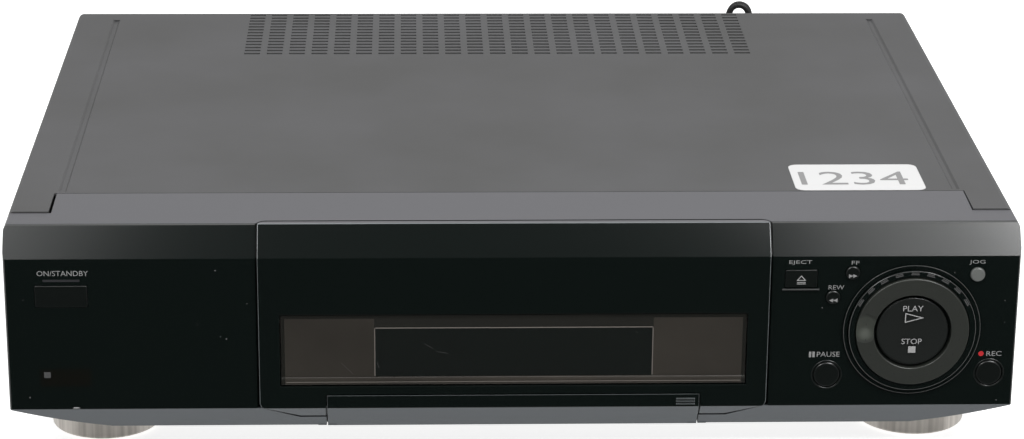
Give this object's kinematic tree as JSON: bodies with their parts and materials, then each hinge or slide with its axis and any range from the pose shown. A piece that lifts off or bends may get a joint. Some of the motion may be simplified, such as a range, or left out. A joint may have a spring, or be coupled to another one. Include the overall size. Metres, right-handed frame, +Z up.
{
  "type": "video cassette recorder",
  "caption": "Front-loading VHS video cassette recorder with smoked cassette flap, control door, round shuttle and jog dial and mains lead.",
  "frame": {"origin": "centre of the recorder's footprint box, on the surface that it stands on", "axes": "+Z up, front towards -Y, +X to the viewer's right; +X is the longest extent"},
  "size_m": [0.43, 0.4286, 0.1054],
  "materials": {
    "cover_paint": "fine textured dark grey paint",
    "grey_plastic": "satin painted grey",
    "gloss_black": "high gloss black",
    "satin_black": "satin black",
    "smoked": "smoked gloss",
    "indicator": "unlit light bar",
    "ir_filter": "dark filter gloss",
    "dial_grey": "satin grey",
    "bare_steel": "zinc plated",
    "screw_steel": "bright",
    "foot_silver": "metallised satin",
    "rubber": "matt",
    "display_glass": "unlit display glass",
    "circuit_board": "brown laminate",
    "label_film": "white film",
    "core_steel": "lacquered core",
    "drum_alloy": "polished",
    "jack_brass": "plated",
    "white_plastic": "natural",
    "lead_black": "satin"
  },
  "bodies": {
    "case": {"bottom_chassis": "bare_steel", "carriage_rails": "bare_steel", "case_screws": "screw_steel", "center_panel": "gloss_black", "cord_coil": "lead_black", "cord_tie": "lead_black", "dial_bezel": "satin_black", "display_tube": "display_glass", "foot_front_left": "foot_silver", "foot_front_right": "foot_silver", "foot_pads": "rubber", "foot_rear_left": "foot_silver", "foot_rear_right": "foot_silver", "front_board_left": "circuit_board", "front_board_right": "circuit_board", "front_panel": "grey_plastic", "heat_sink": "drum_alloy", "ir_window": "ir_filter", "jack_plate": "satin_black", "left_fascia": "gloss_black", "loading_motor": "bare_steel", "lower_drum": "drum_alloy", "main_board": "circuit_board", "mechanism_deck": "bare_steel", "number_label": "label_film", "phono_jacks": "jack_brass", "power_cord": "lead_black", "power_indicator": "indicator", "power_plug": "lead_black", "power_supply_board": "circuit_board", "rear_panel": "bare_steel", "right_fascia": "gloss_black", "scart_sockets": "satin_black", "socket_board": "circuit_board", "strain_relief": "lead_black", "tape_guides": "screw_steel", "top_cover": "cover_paint", "transformer": "core_steel", "tuner_module": "bare_steel"},
    "cassette_flap": {"cassette_flap": "smoked", "flap_window": "smoked"},
    "control_door": {"control_door": "grey_plastic"},
    "shuttle_ring": {"shuttle_ring": "gloss_black"},
    "jog_dial": {"jog_dial": "dial_grey"},
    "play_stop_button": {"play_stop_button": "satin_black"},
    "carriage_shoes": {"carriage_shoes": "white_plastic"},
    "cassette_carriage": {"cassette_carriage": "bare_steel"},
    "upper_drum": {"upper_drum": "drum_alloy"},
    "capstan": {"capstan": "screw_steel"},
    "pinch_arm": {"pinch_arm": "bare_steel"},
    "pinch_roller": {"pinch_roller": "rubber"},
    "supply_reel_table": {"supply_reel_table": "white_plastic"},
    "takeup_reel_table": {"takeup_reel_table": "white_plastic"},
    "power_button": {"power_button": "satin_black"},
    "eject_button": {"eject_button": "satin_black"},
    "fast_forward_button": {"fast_forward_button": "satin_black"},
    "rewind_button": {"rewind_button": "satin_black"},
    "jog_button": {"jog_button": "dial_grey"},
    "pause_button": {"pause_button": "satin_black"},
    "record_button": {"record_button": "satin_black"}
  },
  "joints": [
    {"name": "cassette_flap_hinge", "type": "hinge", "parent": "case", "child": "cassette_flap", "pos_m": [0, -0.16085, 0.065], "axis": [1, 0, 0], "range_deg": [0, 85], "stiffness_Nm_per_rad": 0.01},
    {"name": "control_door_hinge", "type": "hinge", "parent": "case", "child": "control_door", "pos_m": [0, -0.15465, 0.0145], "axis": [1, 0, 0], "range_deg": [0, 85]},
    {"name": "power_button_press", "type": "slide", "parent": "case", "child": "power_button", "axis": [0, 1, 0], "range_m": [0, 0.001], "stiffness_N_per_m": 300},
    {"name": "eject_button_press", "type": "slide", "parent": "case", "child": "eject_button", "axis": [0, 1, 0], "range_m": [0, 0.001], "stiffness_N_per_m": 300},
    {"name": "fast_forward_button_press", "type": "slide", "parent": "case", "child": "fast_forward_button", "axis": [0, 1, 0], "range_m": [0, 0.001], "stiffness_N_per_m": 300},
    {"name": "rewind_button_press", "type": "slide", "parent": "case", "child": "rewind_button", "axis": [0, 1, 0], "range_m": [0, 0.001], "stiffness_N_per_m": 300},
    {"name": "jog_button_press", "type": "slide", "parent": "case", "child": "jog_button", "axis": [0, 1, 0], "range_m": [0, 0.001], "stiffness_N_per_m": 300},
    {"name": "pause_button_press", "type": "slide", "parent": "case", "child": "pause_button", "axis": [0, 1, 0], "range_m": [0, 0.001], "stiffness_N_per_m": 300},
    {"name": "record_button_press", "type": "slide", "parent": "case", "child": "record_button", "axis": [0, 1, 0], "range_m": [0, 0.001], "stiffness_N_per_m": 300},
    {"name": "shuttle_turn", "type": "hinge", "parent": "case", "child": "shuttle_ring", "pos_m": [0.1697, -0.16045, 0.059], "axis": [0, -1, 0], "range_deg": [-75, 75], "stiffness_Nm_per_rad": 0.02},
    {"name": "jog_turn", "type": "hinge", "parent": "case", "child": "jog_dial", "pos_m": [0.1697, -0.16045, 0.059], "axis": [0, -1, 0], "continuous": true},
    {"name": "play_stop_rock", "type": "hinge", "parent": "case", "child": "play_stop_button", "pos_m": [0.1697, -0.16405, 0.059], "axis": [1, 0, 0], "range_deg": [-3, 3], "stiffness_Nm_per_rad": 0.3},
    {"name": "carriage_slide", "type": "slide", "parent": "case", "child": "carriage_shoes", "axis": [0, 1, 0], "range_m": [0, 0.06]},
    {"name": "carriage_drop", "type": "slide", "parent": "carriage_shoes", "child": "cassette_carriage", "axis": [0, 0, -1], "range_m": [0, 0.0095]},
    {"name": "drum_spin", "type": "hinge", "parent": "case", "child": "upper_drum", "pos_m": [0, 0.08755, 0.05], "axis": [0, 0, 1], "continuous": true},
    {"name": "capstan_spin", "type": "hinge", "parent": "case", "child": "capstan", "pos_m": [0.052, 0.06155, 0.03], "axis": [0, 0, 1], "continuous": true},
    {"name": "pinch_arm_swing", "type": "hinge", "parent": "case", "child": "pinch_arm", "pos_m": [0.084, 0.08355, 0.026], "axis": [0, 0, 1], "range_deg": [0, 25], "stiffness_Nm_per_rad": 0.05},
    {"name": "pinch_roller_spin", "type": "hinge", "parent": "pinch_arm", "child": "pinch_roller", "pos_m": [0.05408, 0.0813, 0.042], "axis": [0, 0, 1], "continuous": true},
    {"name": "supply_reel_spin", "type": "hinge", "parent": "case", "child": "supply_reel_table", "pos_m": [-0.047, -0.01445, 0.027], "axis": [0, 0, 1], "continuous": true},
    {"name": "takeup_reel_spin", "type": "hinge", "parent": "case", "child": "takeup_reel_table", "pos_m": [0.047, -0.01445, 0.027], "axis": [0, 0, 1], "continuous": true}
  ]
}
